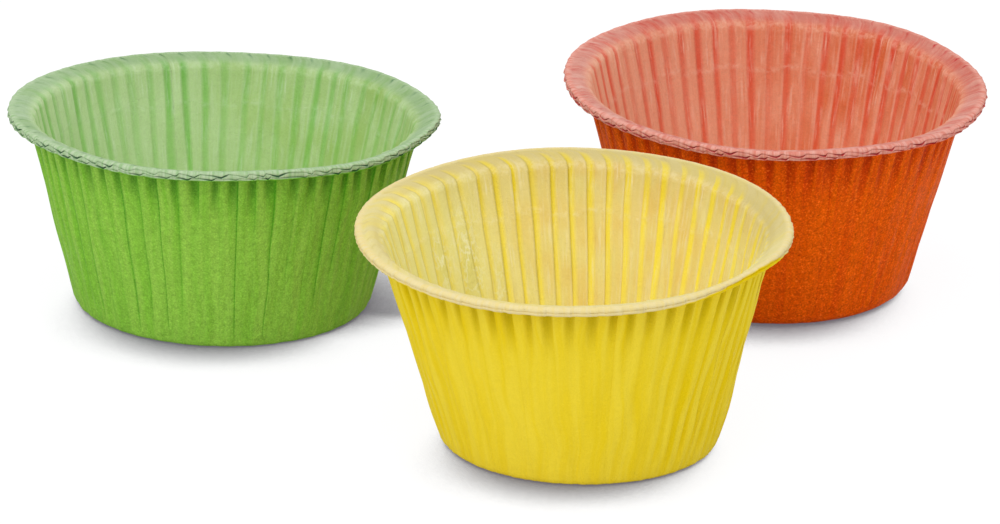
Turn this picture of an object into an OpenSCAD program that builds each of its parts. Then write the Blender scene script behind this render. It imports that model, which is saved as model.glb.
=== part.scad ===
// Three cupcake liners, each pressed from one round of paper: a flat base, a pleated wall and a flared rim.
// Sizes are in millimetres. The liners stand on z = 0, and the origin is under the middle of the three.

/* [Paper] */
// Thickness of the pressed paper
paper_t = 0.35; // [0.25:0.05:0.4]
// Radius of the fold between the base and the wall, on its outside
foot_fold = 1.5; // [1:0.25:3]

/* [Pleats] */
// Number of pleats around the wall
pleat_count = 60; // [40:1:60]
// Depth of the pleats at the top of the wall
pleat_top_depth = 1.1; // [0.5:0.1:1.5]
// Depth of the pleats at the foot of the wall
pleat_foot_depth = 0.25; // [0.1:0.05:0.5]
// Share of each pleat that its groove takes, seen from outside
groove_share = 0.34; // [0.3:0.02:0.4]
// Share of each pleat that either side of its groove takes
side_share = 0.07; // [0.05:0.01:0.1]

/* [Rim] */
// Width of the flare, from the line of the wall to where the flange is flat
flare_w = 1.3; // [1:0.1:2.5]
// Width of the flat flange, between the flare and the turned edge
flange_w = 0.9; // [0.2:0.1:2]
// Slope of the flange, in degrees, rising towards its edge
flange_slope = 13; // [5:1:20]
// Height of the turned edge
edge_h = 1.7; // [1:0.1:2]
// Width of the paper that is turned under at the edge
edge_w = 1.3; // [1.1:0.1:2]

/* [Green liner] */
// Diameter of its base, where the line of the wall meets the table
green_foot_d = 53.5; // [46:0.5:56]
// Diameter of its rim, over the turned edge
green_rim_d = 78.5; // [72:0.5:82]
// Its height, before the rim is tipped
green_h = 36; // [33:0.2:42]
// Rise of its rim above level, at the right side
green_right_rise = -0.2; // [-2.5:0.1:2.5]
// Rise of its rim above level, at the back
green_back_rise = -2; // [-2.5:0.1:2.5]

/* [Yellow liner] */
// Diameter of its base, where the line of the wall meets the table
yellow_foot_d = 49; // [46:0.5:56]
// Diameter of its rim, over the turned edge
yellow_rim_d = 77.5; // [72:0.5:82]
// Its height, before the rim is tipped
yellow_h = 39.8; // [33:0.2:42]
// Rise of its rim above level, at the right side
yellow_right_rise = 0.5; // [-2.5:0.1:2.5]
// Rise of its rim above level, at the back
yellow_back_rise = 1.3; // [-2.5:0.1:2.5]
// Distance of its rim to the right of its base
yellow_shift = -1.6; // [-2.5:0.1:2.5]

/* [Red liner] */
// Diameter of its base, where the line of the wall meets the table
red_foot_d = 49.5; // [46:0.5:56]
// Diameter of its rim, over the turned edge
red_rim_d = 77; // [72:0.5:82]
// Its height, before the rim is tipped
red_h = 39; // [33:0.2:42]
// Rise of its rim above level, at the right side
red_right_rise = -0.9; // [-2.5:0.1:2.5]
// Rise of its rim above level, at the back
red_back_rise = 0.5; // [-2.5:0.1:2.5]

/* [Places] */
// Gap between the rims of the yellow and the green liner
green_gap = 16.2; // [5:0.2:25]
// Direction from the yellow liner to the green one, in degrees from +X
green_bearing = 134; // [130:0.5:145]
// Gap between the rims of the yellow and the red liner
red_gap = 12.8; // [5:0.2:25]
// Direction from the yellow liner to the red one, in degrees from +X
red_bearing = 67.5; // [60:0.5:69]

/* [Hidden] */
edge_r = edge_h / 2;
pleat_turn = 360 / pleat_count;

// Unit vectors along the flange, outwards, and square to it, upwards
along = [cos(flange_slope), sin(flange_slope)];
square = [-sin(flange_slope), cos(flange_slope)];

// Middles of the bases on the table, measured from the yellow one, and the middle of the three liners
green_r = green_rim_d / 2;
yellow_r = yellow_rim_d / 2;
red_r = red_rim_d / 2;
green_place = (yellow_r + green_gap + green_r) * [cos(green_bearing), sin(green_bearing)];
red_place = (yellow_r + red_gap + red_r) * [cos(red_bearing), sin(red_bearing)];
far_corner = [red_place.x + red_r, max(green_place.y + green_r, red_place.y + red_r)];
middle = ([green_place.x - green_r, -yellow_r] + far_corner) / 2;

// Point at a radius and an angle from a centre, in the plane of the profile
function turned(centre, r, angle) = centre + r * [cos(angle), sin(angle)];

// In what follows, a cup is [radius of its base, radius of its rim, height]

// Centre of the round that closes the turned edge
function edge_centre(cup) = [cup[1] - edge_r, cup[2] - edge_r];
// Corner at which the outside of the wall would meet the underside of the flange
function rim_corner(cup) =
    edge_centre(cup) + (edge_r - paper_t) * square - (edge_w - edge_r + flange_w + flare_w) * along;
// Lean of the wall from upright
function wall_lean(cup) = atan((rim_corner(cup).x - cup[0]) / rim_corner(cup).y);
// Centre of the fold at the foot
function fold_centre(cup, lean) = [cup[0] - foot_fold * (1 - sin(lean)) / cos(lean), foot_fold];
// Radius of the flare on its underside, and its centre
function flare_r(lean) = flare_w / tan((90 - lean - flange_slope) / 2);
function flare_centre(cup, lean) =
    rim_corner(cup) - flare_w * [sin(lean), cos(lean)] + flare_r(lean) * [cos(lean), -sin(lean)];

// Stations of one skin from the base to the flange, each [point, pleat depth]. Plain stations have no depth.
// The outer skin has an offset of 0, and the inner skin lies the paper's thickness inside it.
function skin(cup, offset) =
    let (
        lean = wall_lean(cup),
        fold = fold_centre(cup, lean),
        flare = flare_centre(cup, lean),
        fold_r = foot_fold - offset,
        bend_r = flare_r(lean) + offset,
        wall_turn = 180 - lean,
        flange_turn = 90 + flange_slope
    ) [
        [turned(fold, fold_r, -90), 0],
        [turned(fold, fold_r, -(90 + lean) / 2), 0],
        [turned(fold, fold_r, -lean), pleat_foot_depth],
        [turned(flare, bend_r, wall_turn), pleat_top_depth],
        [turned(flare, bend_r, (wall_turn + flange_turn) / 2), 0],
        [turned(flare, bend_r, flange_turn), 0]
    ];

// Stations around the turned edge, from the underside of the flange to its top
function edge(cup) =
    let (
        centre = edge_centre(cup),
        root = centre - (edge_w - edge_r) * along
    ) [
        [root + (edge_r - paper_t) * square, 0],
        [root - edge_r * square, 0],
        for (angle = [-90:60:90]) [turned(centre, edge_r, angle + flange_slope), 0]
    ];

// Points of a plain ring, one for each pleat, in line with the middle of its rib
rib_share = 1 - groove_share - 2 * side_share;
function plain_ring(r, z) = [
    for (i = [0:pleat_count - 1]) let (a = (i + rib_share / 2) * pleat_turn) [r * cos(a), r * sin(a), z]
];
// Points of a pleated ring: both ends of each rib, then both ends of each groove
function pleated_ring(r, z, depth, inset) = [
    for (i = [0:pleat_count - 1], corner = [
        [inset, 0],
        [rib_share - inset, 0],
        [rib_share + side_share - inset, depth],
        [1 - side_share + inset, depth]
    ]) let (a = (i + corner[0]) * pleat_turn, s = r - corner[1]) [s * cos(a), s * sin(a), z]
];
function ring(station, inset) = station[1] == 0
    ? plain_ring(station[0].x, station[0].y)
    : pleated_ring(station[0].x, station[0].y, station[1], inset);

// Triangles between a ring that starts at point a and one that starts at point b, with n points in each
function even_band(a, b, n) = [
    for (i = [0:n - 1]) let (j = (i + 1) % n) each [[a + i, b + i, b + j], [a + i, b + j, a + j]]
];
// Triangles between a plain ring that starts at point p and a pleated ring that starts at point q
function fan_band(p, q) = [
    for (i = [0:pleat_count - 1])
        let (j = (i + 1) % pleat_count, s = p + i, t = p + j, k = q + 4 * i)
        each [[s, k, k + 1], [s, k + 1, k + 2], [s, k + 2, t], [t, k + 2, k + 3], [t, k + 3, q + 4 * j]]
];
function reversed(list) = [for (i = [len(list) - 1:-1:0]) list[i]];
function flipped(faces) = [for (face = faces) reversed(face)];
function joined_rings(a, b, size_a, size_b) =
    size_a == size_b ? even_band(a, b, size_a)
    : size_a < size_b ? fan_band(a, b)
    : flipped(fan_band(b, a));

// A point once the rim is tipped and shifted: nothing moves at the fold, and the rim moves in full
function tipped(p, cup, right_rise, back_rise, shift) =
    let (
        share = max(0, p.z - foot_fold) / (cup[2] - foot_fold),
        rise = (p.x * right_rise + p.y * back_rise) / cup[1]
    ) p + share * [shift, 0, rise];

// One liner, as a closed skin of rings: up the outside, around the edge and down the inside.
// The inner skin stands back from the sides of the grooves by a share of a pleat, so they keep their paper.
module liner(foot_d, rim_d, h, right_rise, back_rise, shift = 0) {
    cup = [foot_d / 2, rim_d / 2, h];
    inset = paper_t * pleat_count / (PI * foot_d);
    outside = [for (s = concat(skin(cup, 0), edge(cup))) ring(s, 0)];
    inside = [for (s = reversed(skin(cup, paper_t))) ring(s, inset)];
    rings = concat(outside, inside);
    sizes = [for (r = rings) len(r)];
    starts = [for (i = 0, start = 0; i < len(rings); start = start + sizes[i], i = i + 1) start];
    last = len(rings) - 1;
    bands = [
        for (i = [0:last - 1]) each joined_rings(starts[i], starts[i + 1], sizes[i], sizes[i + 1])
    ];
    base = [for (i = [0:pleat_count - 1]) i];
    floor_in = [for (i = [pleat_count - 1:-1:0]) starts[last] + i];
    points = [for (r = rings, p = r) tipped(p, cup, right_rise, back_rise, shift)];
    polyhedron(points, concat([base, floor_in], bands), 3);
}

module set_down(place) translate([place.x - middle.x, place.y - middle.y, 0]) children();

module green_liner() {
    color([0.51, 0.73, 0.25]) set_down(green_place)
        liner(green_foot_d, green_rim_d, green_h, green_right_rise, green_back_rise);
}

module yellow_liner() {
    color([0.9, 0.8, 0.2]) set_down([0, 0])
        liner(yellow_foot_d, yellow_rim_d, yellow_h, yellow_right_rise, yellow_back_rise, yellow_shift);
}

module red_liner() {
    color([0.83, 0.33, 0.1]) set_down(red_place)
        liner(red_foot_d, red_rim_d, red_h, red_right_rise, red_back_rise);
}

green_liner();
yellow_liner();
red_liner();
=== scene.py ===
import math
import bpy
import numpy as np
from mathutils import Matrix, Vector


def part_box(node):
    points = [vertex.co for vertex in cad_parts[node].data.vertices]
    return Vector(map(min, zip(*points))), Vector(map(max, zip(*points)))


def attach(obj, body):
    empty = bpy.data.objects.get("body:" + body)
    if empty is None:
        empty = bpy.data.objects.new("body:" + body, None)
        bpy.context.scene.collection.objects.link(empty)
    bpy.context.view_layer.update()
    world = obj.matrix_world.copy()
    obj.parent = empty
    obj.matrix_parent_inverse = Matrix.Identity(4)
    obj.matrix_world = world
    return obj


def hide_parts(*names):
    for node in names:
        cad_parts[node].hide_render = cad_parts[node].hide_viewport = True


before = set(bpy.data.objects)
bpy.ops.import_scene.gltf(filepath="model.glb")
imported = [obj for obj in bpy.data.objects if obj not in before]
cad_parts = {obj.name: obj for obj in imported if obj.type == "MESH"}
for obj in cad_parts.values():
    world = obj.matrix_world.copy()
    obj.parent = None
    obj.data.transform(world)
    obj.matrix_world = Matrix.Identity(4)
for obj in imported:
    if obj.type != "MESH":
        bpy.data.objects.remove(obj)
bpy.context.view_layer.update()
print("frame loaded")

mm = 0.001

# What the three liners share, in millimetres. The sheet follows the solids' profile: base, fold, wall,
# flare, flange.
cupForm = {
    "foldRadius": 1.5,       # bend between base and wall, in the solids
    "paper": 0.35,           # sheet with its folds pressed together
    "pleats": 60,
    "flareWidth": 1.3,       # from the wall's line to the flat flange
    "flangeWidth": 0.9,
    "flangeSlope": 13.0,     # degrees, rising outwards
    "edgeHeight": 1.7,
    "edgeWidth": 1.3,
}

# Where each column of vertices stands within one pleat, as a share of it: closer together at the folds
columnShares = np.array([0.0, 0.04, 0.10, 0.155, 0.22, 0.30, 0.365, 0.42, 0.485, 0.55, 0.61, 0.75, 0.88,
                         0.925, 0.955, 0.98])

# Rows of vertices up one skin, from the middle of the base to the edge
skinRows = {
    "baseRadii": [7.0, 14.0, 20.0],
    "fold": 4,
    "lowWall": 15,
    "highWall": 12,          # closer together, because the grooves are deepest there
    "highFrom": 0.76,        # share of the wall at which they begin
    "flare": 5,
    "flareLevel": 0.6,       # share of the flange that the end of the flare counts as
    "flangeShares": [0.35, 0.7, 0.97],
    "flangeLevels": [0.75, 0.88, 1.0],
}

# Unevenness of the pressed sheet: number of waves, how often each goes round, and its turn per millimetre up
waves = {
    "buckle": {"count": 14, "around": (5, 40), "up": (0.05, 0.4)},
    "streaks": {"count": 16, "around": (45, 110), "up": (0.02, 0.22)},
    "rimOut": {"count": 5, "around": (2, 5), "up": (0, 0)},
    "rimUp": {"count": 5, "around": (2, 6), "up": (0, 0)},
}

# Masks from 0 to 1 at each vertex, which the paper's material reads as attributes
maskNames = ("inside", "groove", "topTone", "longTone", "crease", "slit", "stripe", "lip", "flange", "far",
             "edge", "fold", "calm", "crevice", "ring", "crinkle", "upWall", "warmth", "raised")


def smooth(x, low, high):
    # Smoothstep: 0 below low, 1 above high, 3t^2 - 2t^3 between
    t = np.clip((x - low) / (high - low), 0, 1)
    return t * t * (3 - 2 * t)


def facing(bearing, towards, low, high):
    # Smoothstep, between low and high, of the cosine of the angle between a bearing and the one towards
    return smooth(np.cos(np.radians(bearing - towards)), low, high)


def sawtooth(place, peak):
    # Rises in a straight line from 0 at 0 to 1 at the peak, and falls back to 0 at 1
    return np.where(place < peak, place / peak, (1 - place) / (1 - peak))


def perPleat(rng, low, high):
    # One random number for each pleat, evenly spread between low and high
    return rng.uniform(low, high, cupForm["pleats"])


def spread(values, u):
    # Values at the pleats' middles, carried round the rim: cosine blend between the two nearest pleats
    n = len(values)
    x = u - 0.5
    i = np.floor(x).astype(int)
    t = 0.5 - 0.5 * np.cos(np.pi * (x - i))
    return values[i % n] * (1 - t) + values[(i + 1) % n] * t


def ripple(rng, angle, height, wave, size):
    # Sum of closed waves, cos(m * angle + p) * cos(k * height + q), times size / sqrt(count)
    total = np.zeros(np.broadcast(angle, height).shape)
    for _ in range(wave["count"]):
        m = rng.integers(wave["around"][0], wave["around"][1] + 1)
        k = rng.uniform(*wave["up"])
        p, q = rng.uniform(0, 2 * np.pi, 2)
        total += np.cos(m * angle + p) * np.cos(k * height + q)
    return total * size / math.sqrt(wave["count"])


def bells(bearing, spots):
    # Sum of size * exp(-(turn / width)^2) over the spots, each (bearing, width, size) in degrees
    total = np.zeros(np.shape(bearing))
    for at, width, size in spots:
        total = total + size * np.exp(-(((bearing - at + 180) % 360 - 180) / width) ** 2)
    return total


def filled(shape, **given):
    # All the masks in one shape: what is given, and 0 for the others
    return {key: np.zeros(shape) + given.get(key, 0) for key in maskNames}


def arc(centre, radius, fromAngle, toAngle, steps):
    # Points centre + radius * (cos a, sin a) and their outward directions, at equal steps of the angle a
    a = np.radians(np.linspace(fromAngle, toAngle, steps))
    way = np.stack([np.cos(a), np.sin(a)], 1)
    return np.array(centre) + radius * way, way


def line(start, end, shares):
    # Points start + s * (end - start)
    return np.array(start) + np.outer(shares, np.array(end) - np.array(start))


def sheetProfile(height, rimRadius, footRadius, foldRadius):
    # The solids' profile. The corner of wall and flange is the edge's centre, plus (edge radius - paper)
    # square to the flange, minus the reach along it. The wall leans by atan((corner radius - foot radius) /
    # corner height), and the fold and the flare are arcs that touch the straight lines on both sides.
    f = cupForm
    slope = math.radians(f["flangeSlope"])
    along = np.array([math.cos(slope), math.sin(slope)])
    square = np.array([-math.sin(slope), math.cos(slope)])
    edgeRadius = f["edgeHeight"] / 2
    edgeCentre = np.array([rimRadius - edgeRadius, height - edgeRadius])
    reach = f["edgeWidth"] - edgeRadius + f["flangeWidth"] + f["flareWidth"]
    corner = edgeCentre + (edgeRadius - f["paper"]) * square - reach * along
    lean = math.atan2(corner[0] - footRadius, corner[1])
    foldIn = foldRadius * (1 - math.sin(lean)) / math.cos(lean)
    foldCentre = np.array([footRadius - foldIn, foldRadius])
    flareRadius = f["flareWidth"] / math.tan((math.pi / 2 - lean - slope) / 2)
    flareStart = corner - f["flareWidth"] * np.array([math.sin(lean), math.cos(lean)])
    flareCentre = flareStart + flareRadius * np.array([math.cos(lean), -math.sin(lean)])
    return {"along": along, "square": square, "edgeRadius": edgeRadius, "edgeCentre": edgeCentre,
            "lean": lean, "corner": corner, "foldCentre": foldCentre, "foldRadius": foldRadius,
            "flareRadius": flareRadius, "flareCentre": flareCentre}


def sheetRows(p, outside):
    # Rows of one skin from base to flange: point, direction out of the paper, share of the wall, share of the
    # flange. Straight lines and arcs in turn, with the inner skin the paper's thickness in from the outer.
    f, rows = cupForm, skinRows
    leanDeg = math.degrees(p["lean"])
    offset = 0 if outside else f["paper"]
    side = 1 if outside else -1
    onBase, onFlange = len(rows["baseRadii"]), len(rows["flangeShares"])
    basePoints = np.stack([np.array(rows["baseRadii"]), np.full(onBase, offset)], 1)
    foldPoints, foldWays = arc(p["foldCentre"], p["foldRadius"] - offset, -90, -leanDeg, rows["fold"])
    flarePoints, flareWays = arc(p["flareCentre"], p["flareRadius"] + offset, 180 - leanDeg,
                                 90 + f["flangeSlope"], rows["flare"])
    lowShares = np.linspace(0, rows["highFrom"], rows["lowWall"])[1:]
    highShares = np.linspace(rows["highFrom"], 1, rows["highWall"])[1:-1]
    wallShares = np.concatenate([lowShares, highShares])
    wallPoints = line(foldPoints[-1], flarePoints[0], wallShares)
    wallWay = np.array([math.cos(p["lean"]), -math.sin(p["lean"])])
    flangePoints = flarePoints[-1] + np.outer(rows["flangeShares"], f["flangeWidth"] * p["along"])
    points = np.concatenate([basePoints, foldPoints, wallPoints, flarePoints, flangePoints])
    ways = np.concatenate([np.tile([0.0, -1.0], (onBase, 1)), foldWays,
                           np.tile(wallWay, (len(wallPoints), 1)), -flareWays,
                           np.tile(-p["square"], (onFlange, 1))])
    # Below 0 the share of the wall counts the rows before it
    wall = np.concatenate([np.full(onBase, -0.2), np.linspace(-0.1, 0, rows["fold"]), wallShares,
                           np.ones(rows["flare"] + onFlange)])
    flange = np.concatenate([np.zeros(onBase + rows["fold"] + len(wallShares)),
                             np.linspace(0, rows["flareLevel"], rows["flare"]), rows["flangeLevels"]])
    return points, ways * side, wall, flange


def sheetMesh(name, points, poles, masks, around, along, girth):
    # A grid of rows and columns that closes round the cup: vertex = row * columns + column, quads between
    # neighbours, and a fan at either pole. Its UV is (way round, way along the profile) in metres.
    rowCount, columns = points.shape[:2]
    rowStart = np.arange(rowCount - 1)[:, None] * columns
    here = np.arange(columns)
    after = (here + 1) % columns
    nextRow = rowStart + columns
    quads = np.stack([rowStart + here, rowStart + after, nextRow + after, nextRow + here], -1).reshape(-1, 4)
    lastRow = (rowCount - 1) * columns
    firstPole, lastPole = rowCount * columns, rowCount * columns + 1
    firstFan = np.stack([after, here, np.full(columns, firstPole)], -1)
    lastFan = np.stack([lastRow + here, lastRow + after, np.full(columns, lastPole)], -1)
    mesh = bpy.data.meshes.new(name)
    mesh.from_pydata(np.concatenate([points.reshape(-1, 3), poles]).tolist(), [],
                     quads.tolist() + firstFan.tolist() + lastFan.tolist())
    for key, values in masks.items():
        layer = mesh.attributes.new(key, "FLOAT", "POINT")
        atPoles = [0.0, 1.0] if key == "inside" else [0.0, 0.0]
        layer.data.foreach_set("value", np.concatenate([values.ravel(), atPoles]).astype(np.float32))

    uvX = np.concatenate([np.tile(around, rowCount), [0, 0]])
    uvY = np.concatenate([np.repeat(along, columns), [0, along[-1]]])
    loops = np.zeros(len(mesh.loops), dtype=np.int64)
    mesh.loops.foreach_get("vertex_index", loops)
    uvLoop = np.stack([uvX[loops], uvY[loops]], -1)
    # The last column's quads end a full turn on from where the first column starts
    quadLoops = uvLoop[:len(quads) * 4].reshape(-1, 4, 2)
    lastColumn = np.tile(here, rowCount - 1) == columns - 1
    quadLoops[lastColumn, 1:3, 0] += girth
    uv = mesh.uv_layers.new(name="sheet")
    uv.data.foreach_set("uv", uvLoop.astype(np.float32).ravel())
    mesh.shade_smooth()
    mesh.set_sharp_from_angle(angle=math.radians(50))
    mesh.validate()
    print(name, "rows", rowCount, "columns", columns, "triangles", 2 * len(quads) + 2 * columns)
    return mesh


def buildLiner(name, look):
    # Point = profile point + relief * direction out of the paper, turned round the cup, then waved and tipped
    f = cupForm
    low, high = (np.array(c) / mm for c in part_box(look["node"]))
    middle = (low[:2] + high[:2]) / 2 - (look["shift"], 0)
    rimRadius = (high[0] - low[0]) / 2
    rise = look["rise"]
    height = high[2] - math.hypot(*rise)
    profile = sheetProfile(height, rimRadius, look["foot"], look["foldRadius"])
    rng = np.random.default_rng(look["seed"])
    pleats = f["pleats"]

    # Columns: u counts pleats round the cup, s is the share within its pleat, own is the pleat's number
    u = (np.arange(pleats)[:, None] + columnShares[None, :]).ravel()
    s = np.tile(columnShares, pleats)
    own = np.floor(u).astype(int)
    bearing = u * 360 / pleats
    columns = len(u)

    # Masks across one pleat, with straight lines between their corners
    groove = np.interp(s, [0.42, 0.55, 0.61, 0.75, 0.88, 0.925, 0.98], [0, 0.45, 0.8, 1, 0.75, 0.45, 0])
    crease = np.interp(s, [0.0, 0.04, 0.75, 0.88, 0.925, 0.955, 0.98, 1.0],
                       [0.3, 0, 0, 0.25, 0.7, 1, 0.75, 0.3])
    ribCrown = np.clip(np.sin(np.pi * s / 0.55), 0, None)
    stripe = np.interp(s, *look["stripeAcross"])
    wideStripe = np.interp(s, [0.0, 0.10, 0.42, 0.485, 0.84, 1.0], [0.6, 1, 1, 0, 0, 0.6])
    lap = np.interp(s, [0.0, 0.10, 0.42, 0.485, 1.0], [0.16, 0, 0, 1, 0.16])
    lapTurn = np.interp(s, [0.365, 0.42, 0.485, 0.55, 0.61], [0, 0.03, -0.075, -0.03, 0])
    # Where the painted highlight on each lap's lip lies
    lip = np.interp(s, [0.42, 0.485, 0.55, 0.61], [0, 1, 0.7, 0])
    # Where the painted shade in each lap's slit lies
    inCrease = np.interp(s, [0.30, 0.365, 0.42, 0.485, 0.55], [0, 0.35, 1, 1, 0])

    # Each pleat wanders and slants a little, and its folds have a width, a depth and a reach of their own
    wander = perPleat(rng, -1, 1) * look["wander"]
    slant = perPleat(rng, -1, 1) * look["slant"]
    bend = perPleat(rng, -1, 1) * look["bend"]
    widthOf = perPleat(rng, -1, 1) * look["widths"]
    topDepth = perPleat(rng, 0.75, 1.15)
    topReach = perPleat(rng, -0.4, 1) * look["topSpread"]
    longBoost = bells((np.arange(pleats) + 0.5) * 360 / pleats, look["longFolds"])
    longDepth = 0.6 * perPleat(rng, 0.1, 1) + longBoost
    longReach = 0.8 * perPleat(rng, 0.2, 1.3) + longBoost
    creaseDepth = 0.35 + 0.65 * perPleat(rng, 0, 1) ** 1.5
    creaseReach = perPleat(rng, 0.1, 1.35)
    stripeDepth = perPleat(rng, *look["stripeRange"])
    # Strength of each pleat's painted shade along its fold line on the flange
    foldShadeLine = perPleat(rng, 0, 1) ** look["foldRarity"]
    lapDepth = perPleat(rng, 0.5, 1.1)
    phase = perPleat(rng, -0.2, 0.2)
    slitFoot = perPleat(rng, -0.3, 0.55)

    # Place within the shingle that each pleat makes on the flange: rises slowly, drops where the next starts
    shingleTurn = u + spread(phase, u)
    saw = shingleTurn - np.floor(shingleTurn)
    shingle = sawtooth(saw, 0.86)
    shingleStep = np.interp(saw, [0.80, 0.86, 0.93, 1.0], [0, 1, 0.6, 0])

    # On the left the laps hide what is behind them and their slits get painted shade, and on the right their
    # edges get a painted highlight
    turnedAway = facing(bearing, 165, -0.15, 0.5)
    turnedTo = facing(bearing, 15, -0.35, 0.4)
    backLeft = facing(bearing, 125, 0.55, 0.85)
    backFace = facing(bearing, 100, 0.15, 0.65)
    farSide = facing(bearing, 68, -0.1, 0.55)
    farLeft = look["wideStripe"] * facing(bearing, 185, 0.3, 0.85)
    stripe = np.maximum(stripe, farLeft * wideStripe) * (1 - 0.25 * farLeft)
    twist, calm, softTop = (bells(bearing, look[key]) for key in ("twists", "calm", "softTop"))
    foldHere = 0.6 + bells(bearing, look["foldSide"])

    def angles(wall, flange, folded=0.0):
        # The sum of u, wander * (1 + 0.4 * sin(14 * wall)), (slant + twist) * (wall - 1/2), bend * sin(5 *
        # wall), widening, fold and swirl, as an angle
        shift = (spread(wander, u)[None, :] + np.outer(wall - 0.5, spread(slant, u) + twist)
                 + np.outer(np.sin(wall * 5.0), spread(bend, u))
                 + 0.4 * np.outer(np.sin(wall * 14), spread(wander, u)))
        widen = widthOf[own] * np.sin(2 * np.pi * (s - 0.75))
        swirl = (look["swirl"] * flange ** 1.5)[:, None]
        return (u + shift + widen + folded * lapTurn + swirl) * 2 * np.pi / pleats

    def ringLine(t, at, sway, width):
        # The line pressed round the cup below its top: exp(-((t - at - sway * sin(1.7 u)) / width)^2)
        return np.exp(-((t - at - sway * np.sin(u * 1.7)) / width) ** 2)

    def skin(outside):
        # Relief outside = -grooves - creases + ribs, and inside = depth of the folds + laps + ring + shingles
        points, ways, wall, flange = sheetRows(profile, outside)
        outer = 1.0 if outside else 0.0
        onWall = smooth(wall, -0.12, 0.04)[:, None]
        wallShare = np.clip(wall, 0, 1)
        upWall = wallShare[:, None]
        theta = angles(wallShare, flange, 0.0 if outside else onWall * look["undercut"] * turnedAway)
        t = 1 - upWall                           # 0 at the top of the wall, 1 at its foot
        rise01 = (wallShare + flange)[:, None]   # 0 at the foot of the wall, 1 at its top, 2 at the edge
        # 1 on the wall, 0 on the flange, and the folds end lower where the top is soft
        upFlare = 1 - smooth(rise01, 1.02 - 0.18 * softTop, 1.42 - 0.32 * softTop)
        onFlange = smooth(flange, 0.2, 0.75)[:, None]
        # The stripes run on over the brim at the back, and fade below it elsewhere
        onBrim = 1 - smooth(rise01, 0.82 + (0.18 + look["stripeRun"][0]) * backFace,
                            1.2 + (look["stripeRun"][1] - 0.2) * backFace)
        reach = look["grooveTop"] + topReach[own]
        topTone = 1 - smooth(t, 0.3 * reach, reach + look["grooveFade"])
        longTone = longDepth[own] * (1 - smooth(t, longReach[own] - 0.3, longReach[own] + 0.2))
        creaseTone = creaseDepth[own] * (1 - smooth(t, creaseReach[own] - 0.15, creaseReach[own] + 0.1))
        # Below its top the outside is nearly smooth in places, and everywhere at the foot
        lowCalm = calm * smooth(t, 0.12, 0.4)
        busy = (1 - lowCalm) * smooth(wall, 0.0, 0.16)[:, None]
        longTone = longTone * busy
        creaseTone = creaseTone * (1 - 0.3 * lowCalm) * smooth(wall, 0.0, 0.1)[:, None]
        if outside:
            depth = np.maximum(look["grooveDepth"] * topDepth[own] * topTone, look["longDepth"] * longTone)
            relief = -depth * groove * upFlare * onWall
            relief = relief - look["creaseDepth"] * creaseTone * crease * onWall * upFlare
            relief = relief + look["crown"] * ribCrown * busy * upFlare
            relief = relief - 0.12 * (shingle - 0.5) * onFlange
        else:
            # The inner skin stands in by the folds' depth, and its stripes are pressed back to the paper
            fold = (0.25 + (look["innerDepth"] - 0.25) * wallShare)[:, None] * onWall
            relief = fold * (1 - look["stripePress"] * stripe * stripeDepth[own]) * upFlare
            lapSize = look["lap"] * lap * spread(lapDepth, u) * (0.1 + 0.9 * turnedAway)
            relief = relief + lapSize * onWall * (upFlare + (1 - upFlare) * backLeft * onBrim)
            relief = relief + 0.10 * look["ringLine"] * ringLine(t, 0.2, 0.012, 0.014)
            relief = relief + look["shingleDepth"] * (shingle - 0.5) * onFlange
        heights = points[:, 1:2] * np.ones(columns)
        # The same broad and fine waves on both skins
        buckle, streaks = (
            ripple(np.random.default_rng(look["seed"] + more), theta, heights, waves[key], look[key])
            for key, more in (("buckle", 5), ("streaks", 6)))
        relief = relief + (1 if outside else -1) * (buckle + streaks) * onWall * upFlare
        # Crinkled spots inside: exp(-turn^2 - rise^2), with turn and rise measured in the spot's own widths
        crinkle = np.zeros(theta.shape)
        for at, level, turnWidth, riseWidth, size in [] if outside else look["crinkles"]:
            turn = ((np.degrees(theta) - at + 180) % 360 - 180) / turnWidth
            crinkle += size * np.exp(-turn ** 2 - ((upWall - level) / riseWidth) ** 2)
        r = points[:, 0:1] + ways[:, 0:1] * relief
        z = points[:, 1:2] + ways[:, 1:2] * relief
        # How deep the painted shade in each slit is, and where it fades towards the foot
        slitShadeDepth = (0.35 + 0.65 * spread(creaseDepth, u)) * onWall * (1 - outer)
        slitShadeDepth = slitShadeDepth * smooth(upWall, slitFoot[own] - 0.15, slitFoot[own] + 0.15)
        masks = filled(
            r.shape,
            inside=1 - outer,
            # Where painted shade goes outside: the grooves, below the rim and along the long folds, and the
            # creases
            groove=groove * onWall * upFlare * outer,
            topTone=topTone * outer,
            longTone=longTone * outer,
            crease=crease * creaseTone * onWall * upFlare * outer,
            # Painted shade in the slits of the laps, on the side turned away, and on the brim at the back
            # left
            slit=inCrease * slitShadeDepth * (turnedAway * upFlare + backLeft * (1 - upFlare) * onBrim),
            # Stripes along the folds, partly painted shade and bounce light of their recesses
            stripe=stripe * stripeDepth[own] * onWall * onBrim * (1 - outer),
            # Painted highlight on the lips of the laps, on the side turned to the light
            lip=lip * turnedTo * onWall * upFlare * (1 - outer),
            flange=smooth(rise01, 1.0 - 0.2 * softTop, 1.42 - 0.35 * softTop) * (1 - outer),
            # Painted shade on the upper far side of the inside and its brim
            far=smooth(rise01, look["farFrom"], 1.12) * farSide * (1 - outer),
            # Painted shade along the flange's fold lines
            fold=shingleStep * foldShadeLine[own] * foldHere * smooth(flange, 0.35, 0.9)[:, None] * (1 - outer),
            calm=lowCalm * outer,
            # The pressed ring, and a painted highlight along the top of the wall where it bends into the
            # flare
            ring=(ringLine(t, 0.21, 0.014, 0.012) + 0.8 * np.exp(-(t / 0.012) ** 2)) * upFlare * (1 - outer),
            crinkle=crinkle,
            upWall=upWall,
            warmth=facing(np.degrees(theta), look["warmSide"], 0, 1) * onWall * (1 - outer),
            raised=onWall)
        return r, z, theta, masks

    def edgeRows():
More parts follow.
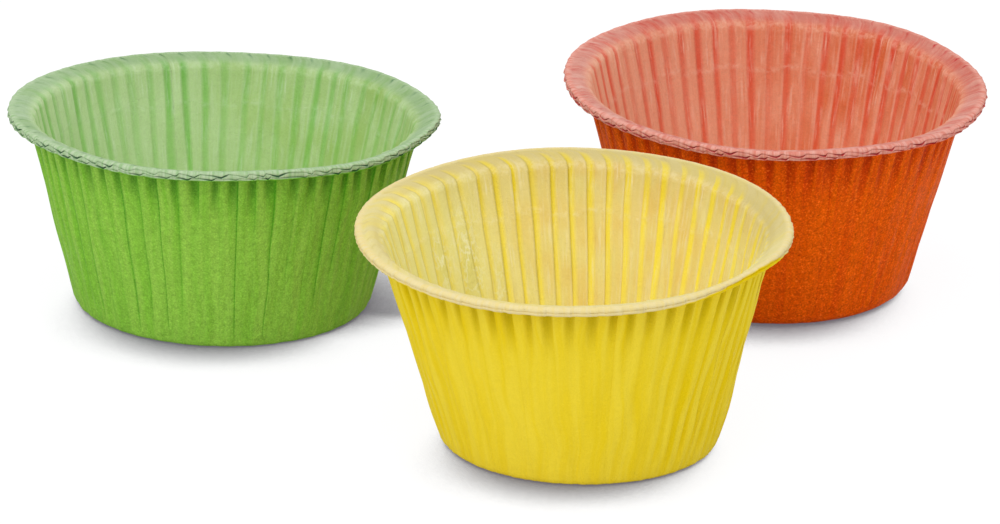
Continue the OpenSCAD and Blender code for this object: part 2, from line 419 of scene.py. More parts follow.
        # The cut edge of the pleats, pressed flat: plies stacked upwards, with a slit between each two. A
        # slit widens along its leaf, and its level falls along the leaf and jumps back where the next one
        # starts. The levels w run from -1 below to 1 on top, and the stack is rounded in by
        # 0.8 * radius * (1 - sqrt(1 - |w|^2.6)).
        e = look["edge"]
        plies, radius = e["plies"], profile["edgeRadius"]
        openness = [perPleat(rng, *e["openness"]) for _ in range(plies)]
        jitter = [perPleat(rng, -1, 1) for _ in range(plies)]
        rows, radii, slitShade = [], [], []
        # The outline is rough in front, where the plies are seen, and smoother at the back
        rough = 0.35 + 0.65 * facing(bearing, -90, -0.5, 0.1)
        lowEdge = -1 - 0.12 * spread(jitter[0], u)
        none = np.zeros(columns)
        below = none
        for k in range(plies):
            turn = shingleTurn + e["stagger"] * (k + 1) + 0.14 * spread(jitter[k], u)
            place = turn - np.floor(turn)
            leaf = sawtooth(place, 0.8)
            slit = np.interp(place, [0, 0.2, 0.65, 0.9, 1], [0.3, 0.2, 0.85, 1, 0.3])
            slit = slit * np.clip(openness[k][np.floor(turn).astype(int) % pleats], 0.12, 1)
            last = k == plies - 1
            level = -1 + 2 * (k + 1) / plies + e["wave"] * (1 - 2 * leaf)
            gap = e["gap"] * slit
            highEdge = np.full(columns, 1.0) if last else level - gap / 2
            stand = e["stand"] * rough * (leaf - 0.5) * (0.5 if last else 1)
            above = none if last else slit
            for share in (0.0, 0.13, 0.38, 0.62, 0.87, 1.0):
                rows.append(lowEdge + share * (highEdge - lowEdge))
                radii.append(stand - e["bulge"] * (2 * share - 1) ** 2)
            # Painted shade beside and in each slit, as deep as the slit is open
            slitShade += [below, none, none, none, none, above]
            if not last:
                rows.append(level)
                radii.append(-e["crevice"] * (0.3 + 0.7 * slit))
                slitShade.append(np.sqrt(slit))
                lowEdge = level + gap / 2
                below = slit
        w = np.array(rows)
        roundIn = radius * (1 - np.sqrt(np.clip(1 - np.clip(np.abs(w), 0, 1) ** 2.6, 0, 1))) * 0.8
        outline = e["scallop"] * rough * (0.5 - np.abs(shingle - 0.6))
        r = profile["edgeCentre"][0] + radius - roundIn + np.array(radii) + outline
        z = profile["edgeCentre"][1] + radius * w + 0.05 * rough * np.sin(2 * np.pi * shingleTurn)
        theta = np.repeat(angles(np.array([1.0]), np.array([1.0])), len(w), 0)
        # Where the rim lifts, the paper's outer side shows below the edge
        shows = e["under"] + bells(bearing, e["undersides"])
        masks = filled(r.shape, inside=smooth(w, shows - 0.12, shows + 0.12), flange=1, edge=1, groove=1,
                       longTone=1, crevice=np.array(slitShade), upWall=1, raised=1,
                       warmth=facing(np.degrees(theta), look["warmSide"], 0, 1))
        return r, z, theta, masks

    def rootRow():
        # Inner foot of the turned paper, under the flange
        root = profile["edgeCentre"] - (f["edgeWidth"] - profile["edgeRadius"]) * profile["along"]
        low = root - 0.9 * profile["edgeRadius"] * profile["square"]
        theta = angles(np.array([1.0]), np.array([1.0]))
        masks = filled(theta.shape, upWall=1, raised=1)
        return np.full(theta.shape, low[0]), np.full(theta.shape, low[1]), theta, masks

    # Up the outside, round the edge and down the inside
    inner = skin(False)
    inner = tuple(a[::-1] for a in inner[:3]) + ({key: a[::-1] for key, a in inner[3].items()},)
    parts = [skin(True), rootRow(), edgeRows(), inner]
    r, z, theta = (np.concatenate([part[i] for part in parts]) for i in range(3))
    masks = {key: np.concatenate([part[3][key] for part in parts]) for key in maskNames}

    # The rim's own unevenness: it waves up and down, in and out, its flange lifts in places, and it tips
    up = smooth(z, 0.35 * height, height)
    flat = np.zeros_like(theta)
    r = r + up * ripple(rng, theta, flat, waves["rimOut"], look["rimWave"])
    z = z + up * ripple(rng, theta, flat, waves["rimUp"], look["rimWave"])
    z = z + np.clip(r - profile["corner"][0], 0, None) * bells(np.degrees(theta), look["lifts"])
    tip = np.clip(z - f["foldRadius"], 0, None) / (height - f["foldRadius"])
    z = np.maximum(z + r * (np.cos(theta) * rise[0] + np.sin(theta) * rise[1]) / rimRadius * tip, 0)
    z[:len(skinRows["baseRadii"])] = 0
    x = r * np.cos(theta) + look["shift"] * tip
    y = r * np.sin(theta)

    points = np.stack([x + middle[0], y + middle[1], z], -1) * mm
    poles = np.array([[*middle, 0], [*middle, f["paper"]]]) * mm
    steps = np.hypot(np.diff(r.mean(1)), np.diff(z.mean(1)))
    along = np.concatenate([[0], np.cumsum(steps)]) * mm
    around = theta.mean(0) * rimRadius * mm
    mesh = sheetMesh(name, points, poles, masks, around, along, 2 * np.pi * rimRadius * mm)
    piece = bpy.data.objects.new(name, mesh)
    bpy.context.scene.collection.objects.link(piece)
    return piece


class Nodes:
    # Short calls for a material's node tree
    def __init__(self, name):
        self.material = bpy.data.materials.new(name)
        self.material.use_nodes = True
        self.tree = self.material.node_tree
        self.shader = self.tree.nodes["Principled BSDF"]

    def add(self, kind, **values):
        node = self.tree.nodes.new(kind)
        for key, value in values.items():
            setattr(node, key, value)
        return node

    def link(self, source, target):
        self.tree.links.new(source, target)

    def mask(self, name):
        return self.add("ShaderNodeAttribute", attribute_name=name).outputs["Fac"]

    def math(self, operation, a, b=None, c=None):
        node = self.add("ShaderNodeMath", operation=operation)
        for slot, value in zip(node.inputs, (a, b, c)):
            if value is None:
                continue
            if isinstance(value, (int, float)):
                slot.default_value = value
            else:
                self.link(value, slot)
        return node.outputs[0]

    def times(self, a, b):
        return self.math("MULTIPLY", a, b)

    def less(self, a, b):
        return self.math("SUBTRACT", a, b)

    def mix(self, amount, a, b, blend="MIX"):
        node = self.add("ShaderNodeMix", data_type="RGBA", blend_type=blend)
        for slot, value in ((node.inputs[0], amount), (node.inputs[6], a), (node.inputs[7], b)):
            if isinstance(value, (int, float)):
                slot.default_value = value
            elif isinstance(value, tuple):
                slot.default_value = (*value, 1)
            else:
                self.link(value, slot)
        return node.outputs[2]

    def noise(self, vector, scale, detail, rough=0.5):
        node = self.add("ShaderNodeTexNoise")
        node.inputs["Scale"].default_value = scale
        node.inputs["Detail"].default_value = detail
        node.inputs["Roughness"].default_value = rough
        self.link(vector, node.inputs["Vector"])
        return node.outputs["Fac"]

    def remap(self, value, low, high, toLow=0.0, toHigh=1.0, kind="LINEAR"):
        node = self.add("ShaderNodeMapRange", interpolation_type=kind)
        for slot, number in zip(list(node.inputs)[1:5], (low, high, toLow, toHigh)):
            slot.default_value = number
        self.link(value, node.inputs[0])
        return node.outputs[0]

    def stretched(self, vector, x, y):
        node = self.add("ShaderNodeMapping")
        node.inputs["Scale"].default_value = (x, y, 1.0)
        self.link(vector, node.inputs["Vector"])
        return node.outputs["Vector"]


def srgb(r, g, b):
    # Display colour, 0 to 255, as linear light: c / 12.92 when dark, ((c + 0.055) / 1.055)^2.4 otherwise
    shares = (r / 255, g / 255, b / 255)
    return tuple(c / 12.92 if c <= 0.04045 else ((c + 0.055) / 1.055) ** 2.4 for c in shares)


# Scales of the paper's patterns per metre: one for all ways, or (round the cup, along its profile)
patterns = {
    "mottle": 900,
    "clouds": 110,
    "blotches": (230, 90),
    "patches": (260, 110),
    "scratches": (1500, 130),
    "wrinkles": (330, 210),
    "crumples": (420, 300),
    "sway": (60, 90),
    "streakLength": 22,
}


def paperMaterial(name, tone):
    n = Nodes(name)
    paint = {key: srgb(*value) for key, value in tone.items() if isinstance(value, tuple)}
    coords = n.add("ShaderNodeTexCoord")
    place = coords.outputs["Object"]
    sheetUv = coords.outputs["UV"]
    grain = n.noise(place, tone["grain"], 2, 0.6)
    mottle = n.noise(place, patterns["mottle"], 3, 0.6)
    clouds = n.noise(place, patterns["clouds"], 2)
    blotches, scratches, wrinkles, crumples = (
        n.noise(n.stretched(sheetUv, *patterns[key]), 1.0, 3, 0.6)
        for key in ("blotches", "scratches", "wrinkles", "crumples"))
    patches = n.noise(n.stretched(sheetUv, *patterns["patches"]), 1.0, 2)
    sway = n.noise(n.stretched(sheetUv, *patterns["sway"]), 1.0, 1)
    warped = n.add("ShaderNodeVectorMath", operation="ADD")
    offset = n.add("ShaderNodeCombineXYZ")
    n.link(n.times(n.less(sway, 0.5), tone["sway"]), offset.inputs["X"])
    n.link(sheetUv, warped.inputs[0])
    n.link(offset.outputs[0], warped.inputs[1])
    streakPlace = n.stretched(warped.outputs[0], tone["streakScale"], patterns["streakLength"])
    longStreaks = n.noise(streakPlace, 1.0, 2, 0.55)
    (inside, groove, topTone, longTone, crease, slit, stripe, lip, flange, far, edge, fold, calm, crevice,
     ring, crinkle, upWall, warmth, raised) = (n.mask(key) for key in maskNames)

    # Outside: body colour, streaked towards the deeper tone, with painted shade in the long folds' grooves,
    # in the grooves below the rim and along the crease lines
    streak = n.times(n.remap(longStreaks, 0.42, 0.66, 0, tone["streak"]), n.remap(calm, 0, 1, 1, 0.3))
    outer = n.mix(n.times(streak, raised), paint["outer"], paint["outerDeep"])
    outer = n.mix(n.times(groove, n.times(longTone, tone["longTone"])), outer, paint["outerDeep"])
    outer = n.mix(n.times(groove, n.times(topTone, tone["topTone"])), outer, paint["groove"])
    outer = n.mix(n.times(crease, tone["creaseTone"]), outer, paint["crease"])
    outer = n.mix(n.remap(grain, 0.58, 0.7, 0, tone["fleckTone"]), outer, paint["fleck"])

    # Inside: warmer on one side, with pale bands, and deeper stripes that are partly painted shade and bounce
    # light of the folds' recesses
    warm = n.times(warmth, n.remap(clouds, 0.3, 0.65, 0.45, 1))
    inner = n.mix(warm, paint["inner"], paint["innerWarm"])
    blotch = n.remap(blotches, 0.5, 0.68)
    pale = n.times(n.math("MAXIMUM", n.remap(longStreaks, 0.5, 0.35), blotch), raised)
    inner = n.mix(n.times(pale, tone["band"]), inner, paint["innerBand"])
    stripeColour = n.mix(upWall, paint["stripeLow"], paint["stripe"])
    stripeTone = n.remap(patches, 0.3, 0.6, 0.7 * tone["stripeTone"], tone["stripeTone"])
    stripeAmount = n.times(n.times(stripe, stripeTone), n.remap(upWall, 0, 0.8, tone["stripeFoot"], 1))
    inner = n.mix(stripeAmount, inner, stripeColour)

    # Brim and edge: streaked and flecked with pale, and the stripes, partly painted shade, run on over them
    brim = n.mix(n.remap(longStreaks, 0.45, 0.65, 0, 0.8), paint["flange"], paint["flangeDeep"])
    brimPale = n.math("MAXIMUM", n.remap(scratches, 0.5, 0.68, 0, 0.6), blotch)
    brim = n.mix(n.times(brimPale, tone["brimPale"]), brim, paint["flangePale"])
    brim = n.mix(n.times(stripe, tone["brimStripe"]), brim, stripeColour)
    edgeColour = n.mix(n.remap(scratches, 0.42, 0.6), paint["edge"], paint["edgeDeep"])
    brim = n.mix(n.times(edge, 0.9), brim, edgeColour)
    inner = n.mix(flange, inner, brim)
    # Painted shade: the far side's colour darkened by its tint
    inner = n.mix(far, inner, n.mix(1.0, inner, tuple(tone["farShadeTint"]), "MULTIPLY"))

    # Pale scratches, the pressed ring, and painted highlight along the top of the wall and on the lips of the
    # laps, then the crinkles, and painted shade in the slits and folds
    scratchAndHighlight = n.times(n.remap(scratches, 0.48, 0.66), n.remap(patches, 0.44, 0.6))
    scratchAndHighlight = n.times(scratchAndHighlight, n.times(raised, n.less(1.0, flange)))
    scratchAndHighlight = n.math("MAXIMUM", scratchAndHighlight, n.times(ring, n.remap(mottle, 0.42, 0.6, 0, 0.7)))
    lapHighlightTone = n.times(lip, n.remap(upWall, 0, 1, 1, 0.5))
    scratchAndHighlight = n.math("MAXIMUM", scratchAndHighlight, n.times(lapHighlightTone, n.remap(scratches, 0.36, 0.56, 0.35, 1)))
    inner = n.mix(n.times(scratchAndHighlight, tone["scratchAndHighlight"]), inner, paint["innerPale"])
    wrinkleLine = n.remap(n.math("ABSOLUTE", n.less(wrinkles, 0.5)), 0.045, 0.0)
    inner = n.mix(n.times(crinkle, 0.55), inner, paint["crinkle"])
    inner = n.mix(n.times(crinkle, wrinkleLine), inner, paint["crinklePale"])
    # Painted shade in the slits of the laps
    inner = n.mix(n.times(slit, tone["slit"]), inner, paint["slitShadeColour"])
    # Painted shade along the flange's fold lines
    inner = n.mix(n.times(fold, tone["foldShadeTone"]), inner, paint["crevice"])
    colour = n.mix(inside, outer, inner)
    # Painted shade in the slits between the edge's plies
    colour = n.mix(n.times(crevice, tone["creviceShadeTone"]), colour, paint["crevice"])

    # Fibres of the paper: light and dark specks, 1 + depth * (grain and mottle about their middle)
    depth = n.mix(inside, (tone["speck"],) * 3, (tone["innerSpeck"],) * 3)
    speck = n.math("MULTIPLY_ADD", n.less(mottle, 0.5), tone["mottle"], n.less(grain, 0.5))
    level = n.math("MULTIPLY_ADD", speck, depth, 1.0)
    grey = n.add("ShaderNodeCombineColor")
    for slot in grey.inputs:
        n.link(level, slot)
    n.link(n.mix(1.0, colour, grey.outputs[0], "MULTIPLY"), n.shader.inputs["Base Color"])

    # A matt coat, shinier in patches and on the crinkles
    rough = n.less(n.remap(patches, 0.4, 0.65, 0.72, 0.5), n.times(crinkle, 0.25))
    n.link(rough, n.shader.inputs["Roughness"])
    n.shader.inputs["Specular IOR Level"].default_value = 0.04

    # Bump height = grain + 2 * mottle + wrinkles in the crinkled spots + crumpled ridges outside
    bump = n.add("ShaderNodeBump")
    bump.inputs["Strength"].default_value = 0.5
    bump.inputs["Distance"].default_value = 0.12 * mm
    height = n.math("ADD", grain, n.times(mottle, 2.0))
    height = n.math("ADD", height, n.times(n.times(crinkle, wrinkles), 14.0))
    ridges = n.math("MINIMUM", n.math("ABSOLUTE", n.less(crumples, 0.5)), 0.07)
    height = n.math("ADD", height, n.times(n.times(ridges, tone["crumple"]), n.less(1.0, inside)))
    n.link(height, bump.inputs["Height"])
    n.link(bump.outputs[0], n.shader.inputs["Normal"])
    return n.material


# One look for each liner's shape. Lengths are in millimetres, bearings in degrees with 0 at the right and 90
# at the back, and a spot is (bearing, width, size). A crinkled spot is (bearing, share of the wall, width
# round the cup, share of the wall that it takes, size).
#   wander, slant, bend, widths, swirl, twists: how the pleats stray, lean, bow and differ, in pleats
#   grooveTop, topSpread, grooveFade, grooveDepth: the short grooves below the rim, outside, and their painted
#   shade
#   longDepth, longFolds, creaseDepth, crown: the long folds, creases and ribs outside
#   innerDepth, stripePress, stripeRange, stripeAcross, stripeRun, wideStripe: the pressed stripes inside,
#   partly painted shade
#   lap, undercut: height of the laps inside, and whether they hide what is behind them
#   ringLine, streaks, buckle, crinkles: the pressed ring, fine waves, broad waves and crinkled spots
#   farFrom, warmSide, calm, softTop: where the inside gets painted shade, is warmer, and the sheet smoother
#       or rounder
#   rimWave, shingleDepth, foldRarity, foldSide, lifts: unevenness of the rim and its flange, and its fold
#   lines' painted shade
#   edge: the plies of the cut edge, their slits, and where the outer side of the paper shows below them
greenLook = {
    "node": "green_liner", "seed": 11, "foot": 26.75, "shift": 0.0, "rise": (-0.2, -2.0), "foldRadius": 1.5,
    "wander": 0.09, "slant": 0.16, "bend": 0.09, "widths": 0.04, "swirl": 0.3, "twists": [(-20, 30, -0.5)],
    "grooveTop": 0.06, "topSpread": 0.04, "grooveFade": 0.16, "grooveDepth": 0.5,
    "longDepth": 0.18, "longFolds": [(-20, 35, 0.35), (200, 20, 0.4)], "creaseDepth": 0.11, "crown": 0.12,
    "innerDepth": 0.8, "stripePress": 0.25, "stripeRange": (0.4, 1.05),
    "stripeAcross": ([0.0, 0.10, 0.22, 0.365, 0.485, 0.55], [0, 0.5, 1, 1, 0.4, 0]),
    "stripeRun": (0.2, 0.8), "wideStripe": 0.0, "lap": 0.03, "undercut": 0,
    "ringLine": 0.5, "streaks": 0.06, "buckle": 0.13, "crinkles": [],
    "farFrom": 0.7, "warmSide": 30, "calm": [(-95, 50, 0.7)], "softTop": [],
    "rimWave": 0.22, "shingleDepth": 0.09, "foldRarity": 0.8, "foldSide": [(10, 45, 0.6), (100, 60, 0.2)],
    "lifts": [(-18, 22, 0.3)],
    "edge": {"plies": 3, "stagger": 0.5, "wave": 0.34, "stand": 0.4, "bulge": 0.10, "crevice": 0.6,
             "gap": 0.34, "openness": (0.2, 1.1), "scallop": 0.08, "under": -0.72,
             "undersides": [(-45, 30, 0.25)]},
}
yellowLook = {
    "node": "yellow_liner", "seed": 23, "foot": 24.5, "shift": -1.6, "rise": (0.5, 1.3), "foldRadius": 1.8,
    "wander": 0.06, "slant": 0.2, "bend": 0.07, "widths": 0.04, "swirl": 0.9,
    "twists": [(-35, 25, 1.1), (-75, 18, 0.4)],
    "grooveTop": 0.07, "topSpread": 0.05, "grooveFade": 0.2, "grooveDepth": 0.55,
    "longDepth": 0.3, "longFolds": [(-30, 30, 0.7), (205, 18, 0.6)], "creaseDepth": 0.05, "crown": 0.12,
    "innerDepth": 0.95, "stripePress": 0.3, "stripeRange": (0.75, 1.05),
    "stripeAcross": ([0.0, 0.10, 0.22, 0.42, 0.485], [0, 0.4, 0.95, 1, 0]),
    "stripeRun": (0.3, 0.85), "wideStripe": 1.0, "lap": 0.22, "undercut": 1,
    "ringLine": 0.8, "streaks": 0.1, "buckle": 0.16,
    "crinkles": [(130, 0.62, 4.5, 0.2, 1.0), (142, 0.66, 3.5, 0.16, 0.9), (119, 0.35, 3, 0.22, 0.6)],
    "farFrom": 0.7, "warmSide": 55, "calm": [(240, 32, 0.6), (285, 25, 0.3)],
    "softTop": [(205, 50, 1.0), (5, 40, 0.9)],
    "rimWave": 0.22, "shingleDepth": 0.14, "foldRarity": 3.0, "foldSide": [], "lifts": [(-35, 22, 0.4)],
    "edge": {"plies": 2, "stagger": 0.45, "wave": 0.14, "stand": 0.18, "bulge": 0.12, "crevice": 0.04,
             "gap": 0.06, "openness": (-0.6, 0.8), "scallop": 0.4, "under": -1.0,
             "undersides": [(-40, 16, 1.5), (-62, 12, 0.4), (215, 14, 0.6)]},
}
redLook = {
    "node": "red_liner", "seed": 37, "foot": 24.75, "shift": 0.0, "rise": (-0.9, 0.5), "foldRadius": 3.0,
    "wander": 0.05, "slant": 0.10, "bend": 0.03, "widths": 0.03, "swirl": 0.3, "twists": [(-20, 30, 0.8)],
    "grooveTop": 0.06, "topSpread": 0.06, "grooveFade": 0.26, "grooveDepth": 0.4,
    "longDepth": 0.12, "longFolds": [(-40, 40, 0.3)], "creaseDepth": 0.04, "crown": 0.06,
    "innerDepth": 0.75, "stripePress": 0.22, "stripeRange": (0.35, 1.1),
    "stripeAcross": ([0.0, 0.10, 0.22, 0.365, 0.485, 0.55], [0, 0.5, 1, 1, 0.4, 0]),
    "stripeRun": (0.2, 0.8), "wideStripe": 0.0, "lap": 0.03, "undercut": 0,
    "ringLine": 0.5, "streaks": 0.05, "buckle": 0.10, "crinkles": [],
    "farFrom": 0.3, "warmSide": 38, "calm": [(-90, 110, 0.7)], "softTop": [],
    "rimWave": 0.22, "shingleDepth": 0.11, "foldRarity": 0.6, "foldSide": [(5, 50, 0.8)], "lifts": [],
    "edge": {"plies": 3, "stagger": 0.5, "wave": 0.34, "stand": 0.4, "bulge": 0.10, "crevice": 0.6,
             "gap": 0.36, "openness": (0.3, 1.2), "scallop": 0.12, "under": -1.0,
             "undersides": [(-50, 12, 0.5)]},
}

# One set of tones for each liner's paper: colours as displayed, 0 to 255, and amounts of them from 0 to 1.
# The grain and the streakScale are scales per metre, sway is in metres, speck, innerSpeck, mottle and crumple
# are the strengths of those patterns, and farShadeTint multiplies the colour on the far side as painted
# shade. The groove, crease and crevice colours and the dark colour of the slits inside are painted shade, the
# stripe colours are partly painted shade, and innerPale is partly painted highlight.
greenTone = {
    "outer": (143, 191, 73), "outerDeep": (104, 174, 34), "groove": (76, 132, 34), "crease": (64, 144, 20),
    "fleck": (176, 208, 96), "streak": 0.65, "streakScale": 480, "sway": 0.0025, "longTone": 0.8,
    "topTone": 0.9, "creaseTone": 1.0, "fleckTone": 0.12, "crumple": 15.0,
    "inner": (189, 213, 157), "innerWarm": (166, 195, 115), "innerBand": (204, 223, 178), "band": 0.32,
    "innerPale": (216, 230, 202), "scratchAndHighlight": 0.35, "slitShadeColour": (104, 164, 60), "slit": 0.12,
    "stripe": (114, 184, 76), "stripeLow": (130, 196, 78), "stripeTone": 0.9, "stripeFoot": 0.65,
    "crinkle": (190, 214, 150), "crinklePale": (216, 230, 202), "farShadeTint": [0.85, 0.88, 0.80],
    "flange": (158, 184, 142), "flangeDeep": (144, 176, 120), "flangePale": (184, 204, 172), "brimPale": 0.55,
    "brimStripe": 0.25, "edge": (182, 200, 166), "edgeDeep": (148, 182, 130), "foldShadeTone": 0.9,
    "crevice": (48, 100, 64), "creviceShadeTone": 0.85, "grain": 3200, "mottle": 0.6, "speck": 0.88,
    "innerSpeck": 0.16,
}
yellowTone = {
    "outer": (235, 211, 56), "outerDeep": (230, 200, 0), "groove": (190, 166, 0), "crease": (222, 196, 0),
    "fleck": (240, 220, 90), "streak": 0.85, "streakScale": 380, "sway": 0.004, "longTone": 1.0,
    "topTone": 0.9, "creaseTone": 0.5, "fleckTone": 0.1, "crumple": 2.0,
    "inner": (236, 230, 156), "innerWarm": (234, 203, 118), "innerBand": (238, 228, 164), "band": 0.35,
    "innerPale": (248, 240, 212), "scratchAndHighlight": 0.4, "slitShadeColour": (180, 162, 36), "slit": 0.65,
    "stripe": (250, 228, 58), "stripeLow": (250, 232, 96), "stripeTone": 1.0, "stripeFoot": 1.0,
    "crinkle": (220, 214, 128), "crinklePale": (244, 242, 206), "farShadeTint": [0.83, 0.79, 0.74],
    "flange": (218, 204, 142), "flangeDeep": (223, 206, 120), "flangePale": (226, 215, 164), "brimPale": 0.4,
    "brimStripe": 0.7, "edge": (225, 209, 158), "edgeDeep": (226, 206, 140), "foldShadeTone": 0.2,
    "crevice": (206, 180, 96), "creviceShadeTone": 0.2, "grain": 3600, "mottle": 0.7, "speck": 0.10,
    "innerSpeck": 0.06,
}
redTone = {
    "outer": (224, 92, 0), "outerDeep": (205, 64, 0), "groove": (176, 48, 0), "crease": (180, 54, 0),
    "fleck": (240, 138, 52), "streak": 0.9, "streakScale": 620, "sway": 0.001, "longTone": 0.5,
    "topTone": 0.8, "creaseTone": 0.4, "fleckTone": 0.3, "crumple": 2.0,
    "inner": (232, 171, 140), "innerWarm": (216, 120, 76), "innerBand": (236, 176, 146), "band": 0.55,
    "innerPale": (238, 192, 168), "scratchAndHighlight": 0.6, "slitShadeColour": (206, 74, 48), "slit": 0.1,
    "stripe": (219, 84, 60), "stripeLow": (221, 98, 60), "stripeTone": 0.88, "stripeFoot": 0.8,
    "crinkle": (230, 160, 130), "crinklePale": (238, 192, 168), "farShadeTint": [0.90, 0.72, 0.68],
    "flange": (205, 138, 124), "flangeDeep": (204, 110, 96), "flangePale": (222, 178, 164), "brimPale": 0.75,
    "brimStripe": 0.35, "edge": (224, 164, 150), "edgeDeep": (211, 126, 110), "foldShadeTone": 1.0,
    "crevice": (184, 40, 46), "creviceShadeTone": 0.9, "grain": 2700, "mottle": 0.5, "speck": 1.3,
    "innerSpeck": 0.2,
}

for name, look, tone, slot in (("green_cup", greenLook, greenTone, "green_paper"),
                               ("yellow_cup", yellowLook, yellowTone, "yellow_paper"),
                               ("red_cup", redLook, redTone, "red_paper")):
    piece = buildLiner(name, look)
    piece.data.materials.append(paperMaterial(slot, tone))
    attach(piece, "root")
    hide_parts(look["node"])
    print(name, "built:", len(piece.data.polygons), "faces")

# The table: white, with a soft shadow close round the liners
stage = {
    "size": 6.0,
    "drop": 0.05 * mm,
    "colour": (0.80, 0.80, 0.80),
    "shadow": (0.125, 0.118, 0.14),      # what the camera sees where the floor is covered most
    "open": (0.93, 0.93, 0.935),         # and where it is open, before the light on it is added
    "lit": 0.10,                         # share of the light on it that is added
    "reach": 20 * mm,                    # how far off cover is looked for
    "cover": (0.27, 0.555),              # open share of the sky where the shadow is deepest, and ends
    "lean": (0.12, 0.8, 0.58),           # way in which cover is looked for, so the shadow falls to the front
    "gap": (-19.5 * mm, 33 * mm, 0),     # between the green and the yellow liner it is looked for to the left
    "gapSize": 29 * mm,
    "gapReach": 55 * mm,
    "gapLean": (-0.75, 0.15, 0.64),
    "gapCover": 0.76,                    # there the open share counts for less
}


def buildFloor():
    # The camera and reflections see glow + a little of the light on the floor, everything else a plain pale
    # floor. Glow = shadow to open by the smoothstep of the open share of the sky, looked for to one side.
    half = stage["size"] / 2
    low = -stage["drop"]
    mesh = bpy.data.meshes.new("floor")
    corners = [(-half, -half, low), (half, -half, low), (half, half, low), (-half, half, low)]
    mesh.from_pydata(corners, [], [(0, 1, 2, 3)])
    floor = bpy.data.objects.new("floor", mesh)
    bpy.context.scene.collection.objects.link(floor)
    n = Nodes("floor")
    n.tree.nodes.remove(n.shader)
    output = n.tree.nodes["Material Output"]
    diffuse = n.add("ShaderNodeBsdfDiffuse")
    diffuse.inputs["Color"].default_value = (*stage["colour"], 1)
    cover = n.add("ShaderNodeAmbientOcclusion", samples=12)
    fromGap = n.add("ShaderNodeVectorMath", operation="DISTANCE")
    fromGap.inputs[1].default_value = stage["gap"]
    n.link(n.add("ShaderNodeTexCoord").outputs["Object"], fromGap.inputs[0])
    inGap = n.remap(fromGap.outputs["Value"], stage["gapSize"], 0.45 * stage["gapSize"])
    n.link(n.mix(inGap, stage["lean"], stage["gapLean"]), cover.inputs["Normal"])
    n.link(n.remap(inGap, 0, 1, stage["reach"], stage["gapReach"]), cover.inputs["Distance"])
    glow = n.add("ShaderNodeEmission")
    openShare = n.times(cover.outputs["AO"], n.remap(inGap, 0, 1, 1, stage["gapCover"]))
    shade = n.remap(openShare, *stage["cover"], kind="SMOOTHSTEP")
    n.link(n.mix(shade, stage["shadow"], stage["open"]), glow.inputs["Color"])
    lit = n.add("ShaderNodeBsdfDiffuse")
    lit.inputs["Color"].default_value = (stage["lit"], stage["lit"], stage["lit"], 1)
    both = n.add("ShaderNodeAddShader")
    n.link(lit.outputs[0], both.inputs[0])
    n.link(glow.outputs[0], both.inputs[1])
    path = n.add("ShaderNodeLightPath")
    seen = n.math("MAXIMUM", path.outputs["Is Camera Ray"], path.outputs["Is Glossy Ray"])
    choice = n.add("ShaderNodeMixShader")
    n.link(seen, choice.inputs[0])
    n.link(diffuse.outputs[0], choice.inputs[1])
    n.link(both.outputs[0], choice.inputs[2])
    n.link(choice.outputs[0], output.inputs["Surface"])
    mesh.materials.append(n.material)


buildFloor()

# Soft studio light: a pale world, a large lamp high in front, to the left, and a weaker one above
lights = {
    "worldLevel": 0.84,                  # and 1 where the camera sees it
    "aim": (0, 0, 20 * mm),
    "lamps": {
        "key": {"place": (-0.36, -0.8, 0.86), "size": 0.8, "power": 4.4},
        "top": {"place": (0.05, 0.1, 1.1), "size": 0.6, "power": 1.9},
    },
}


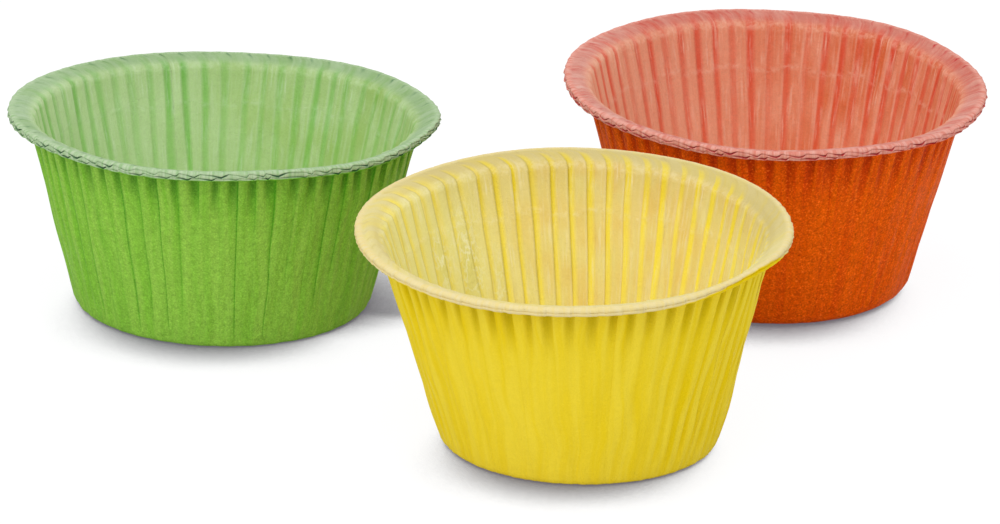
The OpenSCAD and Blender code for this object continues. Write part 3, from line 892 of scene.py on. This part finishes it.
def buildLights():
    world = bpy.data.worlds.new("studio")
    world.use_nodes = True
    bpy.context.scene.world = world
    tree = world.node_tree
    background = tree.nodes["Background"]
    path = tree.nodes.new("ShaderNodeLightPath")
    level = tree.nodes.new("ShaderNodeMix")
    level.inputs[2].default_value = lights["worldLevel"]
    level.inputs[3].default_value = 1.0
    tree.links.new(path.outputs["Is Camera Ray"], level.inputs[0])
    tree.links.new(level.outputs[0], background.inputs["Strength"])
    background.inputs["Color"].default_value = (1, 1, 1, 1)
    for name, values in lights["lamps"].items():
        lamp = bpy.data.lights.new(name, "AREA")
        lamp.size = values["size"]
        lamp.energy = values["power"]
        holder = bpy.data.objects.new(name, lamp)
        holder.location = values["place"]
        holder.rotation_euler = (Vector(lights["aim"]) - holder.location).to_track_quat("-Z", "Y").to_euler()
        bpy.context.scene.collection.objects.link(holder)


buildLights()

# The camera, from a fit to the liners' outlines: distance from the yellow liner in metres, turns in degrees
cameraFit = {
    "distance": 2.5857,
    "elevation": 20.797,
    "yaw": -0.332,
    "pitch": 20.119,
    "roll": 1.204,
    "lens": 523.8,
    "sensor": 36,
    "farClip": 20,
    "aim": (0.97 * mm, 0.6 * mm),        # from the middle of the yellow liner
}


def buildCamera():
    # Place = aim + distance along the elevation, and the axes are turned by yaw and pitch, then rolled
    low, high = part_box("yellow_liner")
    aim = Vector(((low[0] + high[0]) / 2 + cameraFit["aim"][0],
                  (low[1] + high[1]) / 2 + cameraFit["aim"][1], 0))
    up, yaw, pitch, roll = (math.radians(cameraFit[key]) for key in ("elevation", "yaw", "pitch", "roll"))
    place = aim + cameraFit["distance"] * Vector((0, -math.cos(up), math.sin(up)))
    forward = Vector((math.sin(yaw) * math.cos(pitch), math.cos(yaw) * math.cos(pitch), -math.sin(pitch)))
    right = Vector((math.cos(yaw), -math.sin(yaw), 0))
    top = right.cross(forward)
    turnedRight = math.cos(roll) * right + math.sin(roll) * top
    turnedTop = -math.sin(roll) * right + math.cos(roll) * top
    camera = bpy.data.cameras.new("camera")
    camera.lens = cameraFit["lens"]
    camera.sensor_width = cameraFit["sensor"]
    camera.clip_end = cameraFit["farClip"]
    holder = bpy.data.objects.new("camera", camera)
    axes = Matrix((turnedRight, turnedTop, -forward)).transposed()
    holder.matrix_world = Matrix.Translation(place) @ axes.to_4x4()
    bpy.context.scene.collection.objects.link(holder)
    bpy.context.scene.camera = holder


buildCamera()
bpy.context.scene.view_settings.view_transform = "Standard"
print("stage, lights and camera set")
